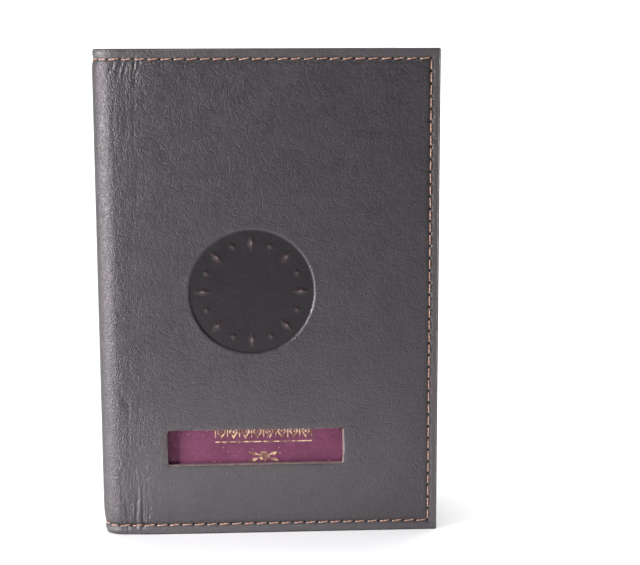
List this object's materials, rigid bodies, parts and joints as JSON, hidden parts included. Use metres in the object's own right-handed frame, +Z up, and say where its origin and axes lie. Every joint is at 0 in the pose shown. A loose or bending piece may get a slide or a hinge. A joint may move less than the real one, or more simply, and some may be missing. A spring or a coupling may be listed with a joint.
{
  "type": "passport holder",
  "caption": "Leather passport holder with a window in its front cover and a booklet in its two inner pockets, standing on its bottom edge slightly open; opens flat.",
  "frame": {"origin": "on the ground, under the middle of the object's box", "axes": "+Z up the spine, +X from the spine to the fore edge along the front cover, -Y out of the front cover"},
  "size_m": [0.0976, 0.043, 0.14],
  "materials": {
    "cover_leather": "satin",
    "pocket_leather": "satin",
    "lining": "matte",
    "seam_thread": "satin",
    "booklet_cover": "satin",
    "pages": "matte",
    "page_thread": "matte",
    "foil": "gloss"
  },
  "bodies": {
    "front": {"front_cover": "cover_leather", "front_lining": "lining", "front_pocket": "pocket_leather", "front_outer_thread": "seam_thread", "front_inner_thread": "seam_thread", "booklet_front_cover": "booklet_cover", "cover_foil": "foil", "front_pages": "pages"},
    "spine": {"spine_cover": "cover_leather", "spine_lining": "lining", "spine_outer_thread": "seam_thread", "spine_inner_thread": "seam_thread", "booklet_spine": "booklet_cover", "page_fold": "pages", "page_thread": "page_thread"},
    "back": {"back_cover": "cover_leather", "back_lining": "lining", "back_pocket": "pocket_leather", "back_outer_thread": "seam_thread", "back_inner_thread": "seam_thread", "booklet_back_cover": "booklet_cover", "back_pages": "pages"}
  },
  "joints": [
    {"name": "front_fold", "type": "hinge", "parent": "front", "child": "spine", "pos_m": [-0.04662, -0.02017, 0.07], "axis": [0, 0, 1], "range_deg": [-10, 80]},
    {"name": "back_fold", "type": "hinge", "parent": "spine", "child": "back", "pos_m": [-0.048, -0.01239, 0.07], "axis": [0, 0, 1], "range_deg": [-10, 80]}
  ],
  "couplings": [
    {"joint": "back_fold", "follows": "front_fold", "ratio": 1}
  ]
}
